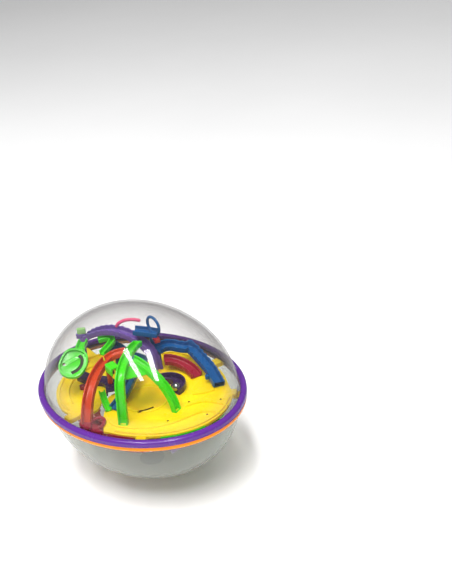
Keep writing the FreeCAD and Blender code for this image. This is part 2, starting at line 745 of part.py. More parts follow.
facing = Vector(0.74, 0.67, 0)
loop_rod = bent_rod("loop_rod", [(-6, -4), (-6.5, 5), (-3.5, 11), (2, 13), (6, 9), (6, 2), (3, -4)],
                    (17, -69.5, 4.5), tuple(facing), tuple(facing.cross(Z)), "rod_wide")
seated("crimson_loop", loop_rod, main_deck, chute, foot_plate)

hoop = primitive("Part::Torus", "hoop_ring", Radius1="Sizes.hoop_radius", Radius2="Sizes.hoop_thick / 2")
hoop.Placement = Placement(Vector(-4.5, 29, 50.5), Rotation(Vector(0, 0, 1), Vector(0.1, 1, 0)))
fan = ramp("fan_path", [(-1, 31), (-9, 27), (-21, 19)], (-1, 31, 42.0), (-21, 19, 45.0), tall="low_tall")
seated("blue_hoop", hoop, fan)
plain("teal_fan", fan)

pink_rod = bent_rod("pink_rod", [(0, 43.5), (3, 48), (10, 51), (18, 51), (24, 49.5)], (-42, 15.6, 0),
                    (0.8, 0.6, 0), tuple(Vector(0.8, 0.6, 0).cross(Z)), "rod_wide")
seated("pink_loop", pink_rod, fan, purple)

bridge_path = [(-56, -24), (-42, -24), (-29, -17), (-20, -18), (-9, -27)]
bridge = ramp("bridge_path", bridge_path, (-56, -24, 5.5), (-9, -27, 5.6), opens=-1, tall="low_tall")
seated("violet_bridge", bridge, main_deck, left_deck)

bracket = new_body("bracket_body")
bracket_line = new_sketch(bracket, "bracket_line", offset=36.5)
bracket_line.addGeometry(ribbon([(-18, 36), (3.5, 24.6)], 5.0))
pad(bracket, bracket_line, "bracket_pad", 4.0)
seated("red_bracket", bracket, fan)


facing_side = Vector(-0.67, 0.74, 0)


def block(name, x, y, half_long, half_wide, low, high):
    """A small upright block with rounded corners, set square to the loop at the front."""
    middle = Vector(x, y, 0)
    a = facing * half_long
    b = facing_side * half_wide
    start = middle + a
    corners = [start, start + b, middle - a + b, middle - a - b, start - b]
    return flat_piece(name, [(c.x, c.y) for c in corners], low, high)


STOP_LOW = 30.0             # the stop at the end of the purple arch, and the cap on top of it
CAP_LOW = 34.5
CAP_HIGH = 40.5
seated("purple_stop", block("stop_block", -75.0, -2.0, 4.6, 2.0, STOP_LOW, CAP_LOW), purple)
plain("green_cap", block("cap_block", -74.2, -1.3, 4.2, 1.8, CAP_LOW, CAP_HIGH))
seated("red_stop", block("red_block", -40.0, -35.0, 3.6, 2.4, 2.0, 7.0), left_deck)


def post(label, x, y, low, high, *others):
    """An upright round post, cut flush with the pieces it joins."""
    rod = primitive("Part::Cylinder", label + "_rod", Radius="Sizes.post_wide / 2", Height=str(high - low))
    rod.Placement.Base = Vector(x, y, low)
    return seated(label, rod, *others)


post("chute_post", -20, -18.5, 7.0, 31.3, bridge, chute, landing)
post("arch_post", -73.5, -2.5, 2.0, STOP_LOW, left_deck, purple)
post("hoop_post", -15.5, 34.7, 2.0, 36.5, main_deck)
post("hook_post", -37.5, -2.0, 2.0, 31.2, left_deck, hook)
post("trough_post", -41.0, 10.5, 2.0, 22.2, left_deck, trough)
post("zigzag_post", -8.5, 33.5, 2.0, 21.8, main_deck, zigzag)


# ---------------------------------------------------------------- the curl and the ball

CURL_AT = (25.0, 9.5)
CURL_START = -8.0       # degrees about the curl's centre; the ball rests beside this mouth
CURL_TURN = 178.0


def curl():
    """A half-turn channel of constant radius with a closed far end, in which the ball rolls."""
    radius = size["curl_radius"]
    half = 0.5 * size["ball_wide"] + size["curl_clear"]
    wall = size["curl_wall"]
    low = size["deck_top"]
    centre = Vector(CURL_AT[0], CURL_AT[1], 0)
    a = math.radians(CURL_START)
    b = math.radians(CURL_START + CURL_TURN)
    body = new_body("curl_body")

    def sector(sketch, inner, outer, begin, end):
        def at(r, angle):
            return centre + Vector(r * math.cos(angle), r * math.sin(angle), 0)
        middle = 0.5 * (begin + end)
        sketch.addGeometry([
            Part.Arc(at(outer, begin), at(outer, middle), at(outer, end)),
            Part.LineSegment(at(outer, end), at(inner, end)),
            Part.Arc(at(inner, end), at(inner, middle), at(inner, begin)),
            Part.LineSegment(at(inner, begin), at(outer, begin)),
        ])

    block = new_sketch(body, "curl_block", offset=low)
    sector(block, radius - half - wall, radius + half + wall, a, b)
    pad(body, block, "curl_pad", "Sizes.curl_tall")
    groove = new_sketch(body, "curl_groove", offset=low + wall)
    sector(groove, radius - half, radius + half, a - 0.2, b - wall / radius)
    cut = pocket(body, groove, "curl_cut", through=False, depth=2 * size["curl_tall"])
    cut.Reversed = True
    return keep(body, "purple_curl")


curl()

ball = primitive("Part::Sphere", "ball_solid", Radius="Sizes.ball_wide / 2")
BALL_ANGLE = math.radians(4.0)
ball.Placement.Base = Vector(CURL_AT[0] + size["curl_radius"] * math.cos(BALL_ANGLE),
                             CURL_AT[1] + size["curl_radius"] * math.sin(BALL_ANGLE), 0)
ball.setExpression("Placement.Base.z",
                   "Sizes.deck_top + Sizes.curl_wall + Sizes.ball_wide / 2 + Sizes.ball_lift")
keep(ball, "steel_ball")


# ---------------------------------------------------------------- tracks of the lower maze

red_rail = ramp("red_rail_path", oval_points(78, 57, -128, -22, 18), (72, -21, -15.0), (-48, -45, -9.5))
plain("lower_red_rail", red_rail)
green_rail = ramp("green_rail_path", oval_points(80, 60, -6, 62, 17), (79, -6, -16.0), (38, 53, -10.0))
plain("lower_green_rail", green_rail)
blue_path = [(-45, 1.5), (-42, -16), (-31, -32), (-12, -41), (12, -41), (32, -33), (44, -17), (47, 1.5)]
blue_bow = arch("blue_bow_path", (0, 19), (1, 0), blue_path)
seated("lower_blue_bow", blue_bow, main_deck, left_deck)
orange_path = [(-42, 1.5), (-40, -20), (-30, -42), (-11, -56), (12, -56), (32, -42), (43, -20), (46, -3)]
orange_bow = arch("orange_bow_path", (-22, 0), (0.04, 1), orange_path)
seated("lower_orange_bow", orange_bow, main_deck, left_deck)
spiral_path = [(62, -30), (66, -14), (56, 0), (40, 0), (31, -14), (38, -26), (49, -24), (51, -15)]
spiral = ramp("spiral_path", spiral_path, (62, -30, -26.0), (40, 0, -17.0), wide="leg_wide",
              tall="low_tall")
plain("lower_violet_spiral", spiral)
pink_path = [(-36, -30), (-52, -24), (-64, -10), (-66, 8)]
pink_ramp = ramp("pink_ramp_path", pink_path, (-36, -30, -24.0), (-66, 8, -9.0))
plain("lower_pink_ramp", pink_ramp)
slide_path = [(4, 42), (24, 44), (44, 37), (60, 26)]
green_slide = ramp("green_slide_path", slide_path, (4, 42, -34.0), (60, 26, -22.0))
plain("lower_green_slide", green_slide)
bend_path = [(0, -34), (14, -43), (30, -43), (42, -38)]
crimson_bend = ramp("crimson_bend_path", bend_path, (0, -34, -34.0), (42, -38, -27.0))
plain("lower_crimson_bend", crimson_bend)


def drop_posts(label, *places):
    """Round posts under the decks: each is x, y, its lowest height and the pieces it is cut flush with."""
    top = 0.5 * size["deck_top"]
    cut = []
    for n, (x, y, low, others) in enumerate(places):
        rod = primitive("Part::Cylinder", "%s_rod_%d" % (label, n), Radius="Sizes.post_wide / 2",
                        Height=str(top - low))
        rod.Placement.Base = Vector(x, y, low)
        result = rod
        for m, other in enumerate(others):
            result = boolean("Part::Cut", "%s_cut_%d_%d" % (label, n, m), result, other)
        cut.append(result)
    return keep(fuse(label + "_set", *cut), label)


drop_posts("lower_posts",
           (46, -46.5, -15.0, (main_deck, red_rail)),
           (-30, -54, -12.5, (left_deck, red_rail)),
           (77, 7, -17.5, (main_deck, green_rail)),
           (5, 19, -43.0, (main_deck, blue_bow)),
           (56, -1, -20.5, (main_deck, spiral)),
           (-58, -18, -19.0, (left_deck, pink_ramp)),
           (40, 39, -29.0, (main_deck, green_slide)),
           (22, -43.5, -32.5, (main_deck, crimson_bend)))


# ---------------------------------------------------------------- check and write every sub-part

doc.recompute()
failed = [o.Name for o in doc.Objects if "Invalid" in o.State or "Error" in o.State]
if failed:
    raise RuntimeError("objects that failed: %s" % failed)
bad = [p.Label for p in PARTS if p.Shape.isNull() or not p.Shape.isValid() or not p.Shape.Solids]
if bad:
    raise RuntimeError("bad shapes: %s" % bad)

os.makedirs("parts", exist_ok=True)
for part in PARTS:
    part.Shape.exportStep("parts/%s.step" % part.Label)
    print("%-20s %2d solid(s) %9.1f mm3" % (part.Label, len(part.Shape.Solids), part.Shape.Volume))
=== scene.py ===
import math

import bmesh
import bpy
import numpy as np
from mathutils import Matrix, Vector


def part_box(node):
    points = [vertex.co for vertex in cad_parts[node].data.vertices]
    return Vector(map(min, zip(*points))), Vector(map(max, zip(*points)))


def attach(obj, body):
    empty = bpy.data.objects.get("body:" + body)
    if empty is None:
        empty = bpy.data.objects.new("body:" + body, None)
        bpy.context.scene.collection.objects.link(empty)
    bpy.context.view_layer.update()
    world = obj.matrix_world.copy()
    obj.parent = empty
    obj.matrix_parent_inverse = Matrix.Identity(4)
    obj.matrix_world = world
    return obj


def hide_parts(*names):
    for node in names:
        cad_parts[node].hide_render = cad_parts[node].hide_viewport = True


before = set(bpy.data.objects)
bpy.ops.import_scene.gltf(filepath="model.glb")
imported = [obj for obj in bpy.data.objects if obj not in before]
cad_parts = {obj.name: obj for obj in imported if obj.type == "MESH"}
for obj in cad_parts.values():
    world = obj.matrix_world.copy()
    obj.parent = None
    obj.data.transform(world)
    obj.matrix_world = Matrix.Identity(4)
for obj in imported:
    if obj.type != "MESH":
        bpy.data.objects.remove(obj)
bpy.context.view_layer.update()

# The looks of an oval 3-D maze ball.  Lengths in the tables are millimetres; meshes are made in metres.
MM = 0.001
Z = np.array([0.0, 0.0, 1.0])

# ---------------------------------------------------------------- sizes shared with the frame

SHELL_LONG = 100.0
SHELL_SHORT = 80.0
SHELL_WALL = 2.0
TRACK = dict(wide=11.0, tall=6.0, wall=1.4, floor=1.6)
LOW = dict(wide=11.0, tall=5.0, wall=1.4, floor=1.6)
LOW_LEG = dict(wide=8.5, tall=5.0, wall=1.4, floor=1.6)
NARROW = dict(wide=6.0, tall=4.0, wall=1.4, floor=1.6)
NARROW_LOW = dict(wide=6.0, tall=5.0, wall=1.4, floor=1.6)
CHUTE = dict(wide=9.5, tall=6.0, wall=1.4, floor=1.6)
LOW_CHUTE = dict(wide=9.5, tall=5.0, wall=1.4, floor=1.6)
WING = dict(wide=8.5, tall=8.0, wall=1.4, floor=1.6)
ROD = 3.2


def unit(v):
    v = np.asarray(v, float)
    return v / np.linalg.norm(v)


# ---------------------------------------------------------------- materials

def new_material(name):
    material = bpy.data.materials.new(name)
    material.use_nodes = True
    tree = material.node_tree
    return material, tree, tree.nodes["Principled BSDF"]


def link(tree, source, target):
    tree.links.new(source, target)


def feed(tree, value, target):
    """Gives an input either a number or another node's output."""
    if isinstance(value, (int, float)):
        target.default_value = value
    else:
        link(tree, value, target)


def noise_node(tree, scale, detail=3.0, rough=0.5):
    coordinates = tree.nodes.new("ShaderNodeTexCoord")
    noise = tree.nodes.new("ShaderNodeTexNoise")
    noise.inputs["Scale"].default_value = scale
    noise.inputs["Detail"].default_value = detail
    noise.inputs["Roughness"].default_value = rough
    link(tree, coordinates.outputs["Object"], noise.inputs["Vector"])
    return noise.outputs["Fac"]


def ramp_node(tree, factor, low, high, first=0.3, last=0.7):
    ramp = tree.nodes.new("ShaderNodeValToRGB")
    ramp.color_ramp.elements[0].position = first
    ramp.color_ramp.elements[0].color = low
    ramp.color_ramp.elements[1].position = last
    ramp.color_ramp.elements[1].color = high
    link(tree, factor, ramp.inputs["Fac"])
    return ramp.outputs["Color"]


def math_node(tree, operation, *values):
    node = tree.nodes.new("ShaderNodeMath")
    node.operation = operation
    for value, target in zip(values, node.inputs):
        feed(tree, value, target)
    return node.outputs[0]


def mixed(tree, share, first, second):
    """Two shaders mixed: a share of 0 gives the first alone, 1 the second alone."""
    mix = tree.nodes.new("ShaderNodeMixShader")
    feed(tree, share, mix.inputs["Fac"])
    link(tree, first, mix.inputs[1])
    link(tree, second, mix.inputs[2])
    return mix.outputs[0]


def glossy(tree, rough):
    node = tree.nodes.new("ShaderNodeBsdfGlossy")
    node.inputs["Roughness"].default_value = rough
    return node.outputs[0]


def curve_share(tree, facing, power, low, high):
    """A share that climbs from low, seen square on, to high at the outline."""
    bent = math_node(tree, "POWER", facing, power)
    return math_node(tree, "MULTIPLY_ADD", bent, high - low, low)


def shade(color, factor):
    return tuple(min(1.0, c * factor) for c in color) + (1.0,)


def grey(value):
    return (value, value, value, 1.0)


# Noise scales in waves per metre: slow colour drift, marks of the melt's flow, mould grain.
DRIFT_SCALE = 28.0
FLOW_SCALE = 60.0
GRAIN_SCALE = 900.0
FLOW_OVER_GRAIN = 3.0


def plastic(name, color, rough=0.3, glow=0.12, vary=0.10, coat=0.12, gloss=0.38):
    """Moulded plastic: colour drift, flow marks, mould grain and a little light through thin walls."""
    material, tree, shader = new_material(name)
    drift = noise_node(tree, DRIFT_SCALE, 4.0)
    paint = ramp_node(tree, drift, shade(color, 1 - vary), shade(color, 1 + vary))
    link(tree, paint, shader.inputs["Base Color"])
    grain = noise_node(tree, GRAIN_SCALE, 2.0)
    flow = noise_node(tree, FLOW_SCALE, 2.0)
    bump = tree.nodes.new("ShaderNodeBump")
    bump.inputs["Strength"].default_value = 0.12
    bump.inputs["Distance"].default_value = 0.25 * MM
    link(tree, math_node(tree, "MULTIPLY_ADD", flow, FLOW_OVER_GRAIN, grain), bump.inputs["Height"])
    link(tree, bump.outputs["Normal"], shader.inputs["Normal"])
    patches = ramp_node(tree, flow, grey(rough - 0.06), grey(rough + 0.08))
    link(tree, patches, shader.inputs["Roughness"])
    shader.inputs["Subsurface Weight"].default_value = glow
    shader.inputs["Subsurface Radius"].default_value = tuple(max(0.15, c) for c in color)
    shader.inputs["Subsurface Scale"].default_value = 3.0 * MM
    shader.inputs["Specular IOR Level"].default_value = gloss
    shader.inputs["Coat Weight"].default_value = coat
    shader.inputs["Coat Roughness"].default_value = 0.08
    return material


def clear_plastic(name, color, tint, edge_tint, haze, rough, mirror, gloss_rough=0.03, bloom=0.0):
    """Clear shell: open where it is seen square on, greyer and glossier towards the outline.

    haze and mirror are shares seen square on and at the outline; bloom is a soft second gloss.
    """
    material, tree, shader = new_material(name)
    smear = noise_node(tree, 14.0, 4.0)
    body = ramp_node(tree, smear, shade(color, 0.96), shade(color, 1.04))
    link(tree, body, shader.inputs["Base Color"])
    shader.inputs["Roughness"].default_value = rough
    shader.inputs["Specular IOR Level"].default_value = 0.2
    weight = tree.nodes.new("ShaderNodeLayerWeight")
    weight.inputs["Blend"].default_value = 0.5
    facing = weight.outputs["Facing"]
    clear = tree.nodes.new("ShaderNodeBsdfTransparent")
    slant = curve_share(tree, facing, 2.0, 0.0, 1.0)
    link(tree, ramp_node(tree, slant, (*tint, 1.0), (*edge_tint, 1.0), 0.0, 1.0), clear.inputs["Color"])
    surface = mixed(tree, curve_share(tree, facing, 3.0, *haze), clear.outputs[0], shader.outputs[0])
    surface = mixed(tree, curve_share(tree, facing, 4.0, *mirror), surface, glossy(tree, gloss_rough))
    if bloom:
        surface = mixed(tree, bloom, surface, glossy(tree, 0.16))
    link(tree, surface, tree.nodes["Material Output"].inputs["Surface"])
    return material


def steel(name, rough=0.16):
    """Polished steel with fine scratches."""
    material, tree, shader = new_material(name)
    scratches = noise_node(tree, 400.0, 4.0, 0.7)
    sheen = ramp_node(tree, scratches, (0.34, 0.34, 0.36, 1.0), (0.48, 0.48, 0.50, 1.0))
    link(tree, sheen, shader.inputs["Base Color"])
    wear = ramp_node(tree, scratches, grey(rough - 0.05), grey(rough + 0.08))
    link(tree, wear, shader.inputs["Roughness"])
    shader.inputs["Metallic"].default_value = 1.0
    return material


PAINT = {
    "purple_ring": plastic("ring_purple", (0.085, 0.016, 0.22), rough=0.24, glow=0.05, vary=0.08,
                           coat=0.15),
    "orange_ring": plastic("ring_orange", (0.90, 0.255, 0.008), rough=0.34, glow=0.10, coat=0.0,
                           gloss=0.2),
    "yellow": plastic("deck_yellow", (0.93, 0.665, 0.0), rough=0.30, glow=0.5, vary=0.06, coat=0.05,
                      gloss=0.3),
    "green": plastic("track_green", (0.050, 0.62, 0.002), rough=0.24, glow=0.18),
    "pale_green": plastic("cap_pale_green", (0.33, 0.68, 0.20), rough=0.26, glow=0.3),
    "orange_red": plastic("track_orange_red", (0.55, 0.048, 0.004), rough=0.28, glow=0.12),
    "crimson": plastic("track_crimson", (0.30, 0.009, 0.026), rough=0.28, glow=0.10),
    "blue": plastic("track_blue", (0.0, 0.088, 0.285), rough=0.24, glow=0.04, coat=0.04, gloss=0.22),
    "teal": plastic("track_teal", (0.001, 0.085, 0.20), rough=0.28, glow=0.05),
    "purple": plastic("track_purple", (0.145, 0.075, 0.34), rough=0.28, glow=0.12),
    "dark_purple": plastic("track_dark_purple", (0.035, 0.014, 0.065), rough=0.26, glow=0.04),
    "pink": plastic("track_pink", (0.78, 0.085, 0.22), rough=0.30, glow=0.14),
    "steel": steel("ball_steel"),
}
CLEAR_GREY = (0.55, 0.54, 0.55)
DOME_OPEN = (0.955, 0.950, 0.948)
DOME_EDGE = (0.60, 0.595, 0.59)
DOME = clear_plastic("dome_clear", CLEAR_GREY, DOME_OPEN, DOME_EDGE, haze=(0.004, 0.30), rough=0.35,
                     mirror=(0.030, 0.28), bloom=0.010)
DOME_INSIDE = clear_plastic("dome_inside", CLEAR_GREY, DOME_OPEN, DOME_EDGE, haze=(0.002, 0.14),
                            rough=0.35, mirror=(0.0, 0.06))
BOWL_GREY = (0.60, 0.62, 0.59)
BOWL_OPEN = (0.86, 0.88, 0.86)
BOWL = clear_plastic("bowl_clear", BOWL_GREY, BOWL_OPEN, BOWL_OPEN, haze=(0.13, 0.5), rough=0.45,
                     mirror=(0.035, 0.25), gloss_rough=0.12)
BOWL_INSIDE = clear_plastic("bowl_inside", BOWL_GREY, BOWL_OPEN, BOWL_OPEN, haze=(0.13, 0.4), rough=0.45,
                            mirror=(0.0, 0.05), gloss_rough=0.2)


# ---------------------------------------------------------------- meshes

def stand(name, data):
    """A scene object for a mesh, a lamp or a camera."""
    piece = bpy.data.objects.new(name, data)
    bpy.context.scene.collection.objects.link(piece)
    return piece


def soft_shading(mesh, angle):
    """Smooth shading, with edges sharper than the angle in degrees left sharp."""
    mesh.shade_smooth()
    mesh.set_sharp_from_angle(angle=math.radians(angle))


def mesh_object(name, verts, faces, material, smooth=40.0):
    """A closed mesh from points in metres, with outward normals and soft shading under an angle."""
    mesh = bpy.data.meshes.new(name)
    mesh.from_pydata([tuple(v) for v in verts], [], faces)
    return finish_mesh(name, mesh, material, smooth)


def finish_mesh(name, mesh, material, smooth=40.0):
    """Welds a mesh, turns its normals outwards and makes an object of it."""
    shaped = bmesh.new()
    shaped.from_mesh(mesh)
    bmesh.ops.remove_doubles(shaped, verts=shaped.verts, dist=1e-7)
    bmesh.ops.recalc_face_normals(shaped, faces=shaped.faces)
    shaped.to_mesh(mesh)
    shaped.free()
    soft_shading(mesh, smooth)
    mesh.materials.clear()
    mesh.materials.append(material)
    return stand(name, mesh)


def baked_mesh(piece):
    """The mesh of a piece with its modifiers applied."""
    bpy.context.view_layer.update()
    solid = piece.evaluated_get(bpy.context.evaluated_depsgraph_get())
    return bpy.data.meshes.new_from_object(solid)


def place(piece, slot, *nodes, body="case"):
    """Puts a finished piece on its body, in place of its CAD nodes."""
    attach(piece, body)
    if nodes:
        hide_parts(*nodes)
    return piece


def join(name, pieces):
    """One object from several closed meshes that share a material."""
    together = bmesh.new()
    for piece in pieces:
        together.from_mesh(piece.data)
    mesh = bpy.data.meshes.new(name)
    together.to_mesh(mesh)
    together.free()
    materials = list(pieces[0].data.materials)
    for piece in pieces:
        bpy.data.objects.remove(piece)
    for material in materials:
        mesh.materials.append(material)
    soft_shading(mesh, 40.0)
    return stand(name, mesh)


# ---------------------------------------------------------------- paths

BEND_SHARE = 0.45       # the share of a straight run that each of its bends may take up


def rounded(points, step=1.0):
    """Samples of a path in a plane: straight runs joined by tangent arcs as large as the runs allow."""
    points = [np.array(p, float) for p in points]
    line = [points[0]]
    for before, corner, after in zip(points, points[1:], points[2:]):
        back = before - corner
        on = after - corner
        reach = BEND_SHARE * min(np.linalg.norm(back), np.linalg.norm(on))
        back = unit(back)
        on = unit(on)
        half_turn = 0.5 * (math.pi - math.acos(np.clip(back @ on, -1, 1)))
        if half_turn < 0.01:
            continue
        radius = reach / math.tan(half_turn)
        centre = corner + unit(back + on) * math.hypot(radius, reach)
        start = corner + back * reach - centre
        end = corner + on * reach - centre
        turn = 2 * half_turn
        count = max(3, int(radius * turn / step))
        for n in range(count + 1):
            t = n / count
            blend = (math.sin((1 - t) * turn) * start + math.sin(t * turn) * end) / math.sin(turn)
            line.append(centre + blend)
    line.append(points[-1])
    even = [line[0]]
    for a, b in zip(line, line[1:]):
        length = np.linalg.norm(b - a)
        if length < 1e-6:
            continue
        parts = max(1, int(math.ceil(length / (1.6 * step))))
        even += [a + (b - a) * n / parts for n in range(1, parts + 1)]
    return np.array(even)


def stations(points, origin, along, across):
    """Points in space and unit tangents along a path that lies in a plane."""
    origin, along, across = (np.asarray(vector, float) for vector in (origin, along, across))
    spots = np.array([origin + along * u + across * v for u, v in rounded(points)])
    tangents = np.gradient(spots, axis=0)
    tangents /= np.linalg.norm(tangents, axis=1)[:, None]
    return spots, tangents


def arch_line(start, heading, points):
    """Stations of an upright arch, with the direction in which its channel is open at each."""
    along = unit((*heading, 0))
    side = np.cross(along, Z)
    spots, tangents = stations(points, (start[0], start[1], 0), along, Z)
    ups = np.cross(side, tangents)
    return spots, tangents, ups


def ramp_line(points, low, high):
    """Stations of a channel that bends on the flat in a sloping plane."""
    low = np.array(low, float)
    high = np.array(high, float)
    fall = high - low
    level = np.array([-fall[1], fall[0], 0.0])
    normal = unit(np.cross(level, fall))
    if normal[2] < 0:
        normal = -normal
    along = unit(fall)
    across = np.cross(normal, along)
    flat = []
    for x, y in points:
        z = low[2] - (normal[0] * (x - low[0]) + normal[1] * (y - low[1])) / normal[2]
        offset = np.array([x, y, z]) - low
        flat.append((offset @ along, offset @ across))
    spots, tangents = stations(flat, low, along, across)
    return spots, tangents, np.repeat(normal[None], len(spots), axis=0)


# ---------------------------------------------------------------- sections and sweeps

def round_corners(corners, radii, parts=4):
    """A closed outline with every corner rounded by its own radius."""
    count = len(corners)
    outline = []
    for n, corner in enumerate(corners):
        corner = np.array(corner, float)
        back = np.array(corners[n - 1], float) - corner
        on = np.array(corners[(n + 1) % count], float) - corner
        half = 0.5 * math.acos(np.clip(unit(back) @ unit(on), -1, 1))
        reach = min(radii[n] / math.tan(half), 0.49 * np.linalg.norm(back), 0.49 * np.linalg.norm(on))
        a = corner + unit(back) * reach
        b = corner + unit(on) * reach
        for k in range(parts + 1):
            t = k / parts
            outline.append((1 - t) ** 2 * a + 2 * t * (1 - t) * corner + t ** 2 * b)
    return np.array(outline)


def channel_section(wide, tall, wall, floor):
    """A U section with rounded rims and a coved floor, centred like the frame's."""
    w, h = wide / 2, tall / 2
    corners = [(-w, -h), (w, -h), (w, h), (w - wall, h), (w - wall, floor - h), (wall - w, floor - h),
               (wall - w, h), (-w, h)]
    radii = [0.7, 0.7, 0.6, 0.6, 1.5, 1.5, 0.6, 0.6]
    return round_corners(corners, radii)


def rod_section(diameter, parts=20):
    turn = np.linspace(0, 2 * math.pi, parts, endpoint=False)
    return 0.5 * diameter * np.column_stack([np.cos(turn), np.sin(turn)])


def shrink(section, amount):
    """The outline moved inwards by an amount."""
    edge = np.roll(section, -1, axis=0) - np.roll(section, 1, axis=0)
    normal = np.column_stack([edge[:, 1], -edge[:, 0]])
    normal /= np.linalg.norm(normal, axis=1)[:, None] + 1e-12
    x, y = section[:, 0], section[:, 1]
    area = np.sum(x * np.roll(y, -1) - y * np.roll(x, -1))
    return section - normal * amount * math.copysign(1, area)


def sweep(name, line, section, material, wave=None, round_end=0.45):
    """A closed sweep of a section along stations; wave(distance, section) may change it on its way."""
    spots, tangents, ups = line
    sides = np.cross(tangents, ups)
    lengths = np.concatenate([[0], np.cumsum(np.linalg.norm(np.diff(spots, axis=0), axis=1))])
    rings = []
    caps = [(0.0, round_end), (0.3 * round_end, 0.3 * round_end)]

    def ring(spot, side, up, shape):
        return [spot + side * x + up * y for x, y in shape]

    def shape_at(distance):
        return wave(distance, section.copy()) if wave else section

    for forward, inward in caps:
        shape = shrink(shape_at(0), inward)
        rings.append(ring(spots[0] + tangents[0] * forward, sides[0], ups[0], shape))
    for spot, side, up, length in zip(spots, sides, ups, lengths):
        if round_end < length < lengths[-1] - round_end:
            rings.append(ring(spot, side, up, shape_at(length)))
    for forward, inward in reversed(caps):
        shape = shrink(shape_at(lengths[-1]), inward)
        rings.append(ring(spots[-1] - tangents[-1] * forward, sides[-1], ups[-1], shape))
    verts = np.array([v for r in rings for v in r]) * MM
    count = len(section)
    faces = []
    for r in range(len(rings) - 1):
        for k in range(count):
            a = r * count + k
            b = r * count + (k + 1) % count
            faces.append((a, b, b + count, a + count))
    faces.append(tuple(range(count - 1, -1, -1)))
    faces.append(tuple(range((len(rings) - 1) * count, len(rings) * count)))
    return mesh_object(name, verts, faces, material, smooth=50)


def turned_faces(parts, count, closed=False):
    """Quads between neighbours among the copies of a profile of count points set round an axis."""
    faces = []
    for n in range(parts):
        m = (n + 1) % parts
        for k in range(count if closed else count - 1):
            j = (k + 1) % count
            faces.append((n * count + k, m * count + k, m * count + j, n * count + j))
    return faces


def lathe(name, profile, centre, material, parts=64):
    """A turned body: profile of (radius, height) pairs about an upright through the centre."""
    verts = []
    for n in range(parts):
        turn = 2 * math.pi * n / parts
        for r, z in profile:
            spot = (centre[0] + r * math.cos(turn), centre[1] + r * math.sin(turn), centre[2] + z)
            verts.append(tuple(c * MM for c in spot))
    return mesh_object(name, verts, turned_faces(parts, len(profile)), material, smooth=50)


def softened(name, node, material, width=0.35, angle=35.0):
    """A copy of a frame part with its sharp edges rounded."""
    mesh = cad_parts[node].data.copy()
    shaped = bmesh.new()
    shaped.from_mesh(mesh)
    bmesh.ops.remove_doubles(shaped, verts=shaped.verts, dist=2e-6)
    bmesh.ops.dissolve_limit(shaped, angle_limit=math.radians(0.6), verts=shaped.verts, edges=shaped.edges)
    shaped.to_mesh(mesh)
    shaped.free()
    piece = stand(name, mesh)
    bevel = piece.modifiers.new("edges", "BEVEL")
    bevel.width = width * MM
    bevel.segments = 3
    bevel.limit_method = "ANGLE"
    bevel.angle_limit = math.radians(angle)
    bevel.use_clamp_overlap = True
    baked = baked_mesh(piece)
    bpy.data.objects.remove(piece)
    return finish_mesh(name, baked, material, smooth=35)


def oval_lathe(name, profile, material, parts=160, closed=False, notch=None, inside=None):
    """A body round the oval: profile of (share of the semi-axes, extra reach, height).

    notch may change a point at its turn; inside is the material of the faces within the wall's middle.
    """
    verts = []
    for n in range(parts):
        turn = 2 * math.pi * n / parts
        for share, extra, z in profile:
            if notch:
                share, extra, z = notch(turn, share, extra, z)
            verts.append(((SHELL_LONG * share + extra) * math.cos(turn) * MM,
                          (SHELL_SHORT * share + extra) * math.sin(turn) * MM, z * MM))
    faces = turned_faces(parts, len(profile), closed)
    piece = mesh_object(name, verts, faces, material, smooth=50)
    if inside:
        piece.data.materials.append(inside)
        half_wall = 0.5 * SHELL_WALL
        for face in piece.data.polygons:
            x, y, z = face.center / MM
            across = (y ** 2 + z ** 2) / (SHELL_SHORT - half_wall) ** 2
            level = (x / (SHELL_LONG - half_wall)) ** 2 + across
            face.material_index = 1 if level < 1 else 0
    return piece


# ---------------------------------------------------------------- shells

SHELL_STEPS = 72
SHELL_TURNS = 288
FLANGE_TOP = 1.9
FLANGE = [(1.0, 0.35, FLANGE_TOP), (1.0, 3.5, 1.6), (1.0, 3.9, 1.4), (1.0, 3.9, 0.3), (1.0, 3.7, 0.1)]
FOOT = [(0.0, -0.6), (11.0, -0.6), (11.8, -0.3), (12.0, 0.0), (11.7, 0.6), (10.2, 1.0), (9.4, 0.5),
        (0.0, 0.5)]
FOOT_LEVEL = -79.4


def shell(name, side, material, inside):
    """Half an ellipsoid of even wall with a flat flange round its mouth."""
    quarter = [0.5 * math.pi * n / SHELL_STEPS for n in range(SHELL_STEPS + 1)]
    outer = [(math.cos(t), 0.0, SHELL_SHORT * math.sin(t)) for t in reversed(quarter)]
    outer = [point for point in outer if point[2] > FLANGE_TOP + 0.3]
    inner = [(1.0, -SHELL_WALL, 0.1)]
    for t in quarter[1:]:
        inner.append((math.cos(t), -SHELL_WALL * math.cos(t), (SHELL_SHORT - SHELL_WALL) * math.sin(t)))
    profile = [(share, extra, side * z) for share, extra, z in outer + FLANGE + inner]
    return oval_lathe(name, profile, material, parts=SHELL_TURNS, inside=inside)


place(shell("dome", 1, DOME, DOME_INSIDE), "clear_shell", "upper_shell")
bowl = shell("bowl", -1, BOWL, BOWL_INSIDE)
foot = lathe("bowl_foot", FOOT, (0, 0, FOOT_LEVEL), BOWL)
place(join("bowl_with_foot", [bowl, foot]), "clear_shell", "lower_shell")


# ---------------------------------------------------------------- rings

SEAMS = [math.radians(-45.7 + 60 * n) for n in range(6)]
SEAM_WIDE = 0.6
SEAM_DEEP = 0.45
MEAN_RADIUS = 90.0


def seam_groove(turn, share, extra, z):
    """A fine groove in the outer face of a ring where a screw boss meets the plain rim."""
    for seam in SEAMS:
        gap = abs((turn - seam + math.pi) % (2 * math.pi) - math.pi) * MEAN_RADIUS
        if gap < SEAM_WIDE and extra > 3.0:
            extra -= SEAM_DEEP * (1 - gap / SEAM_WIDE)
    return share, extra, z


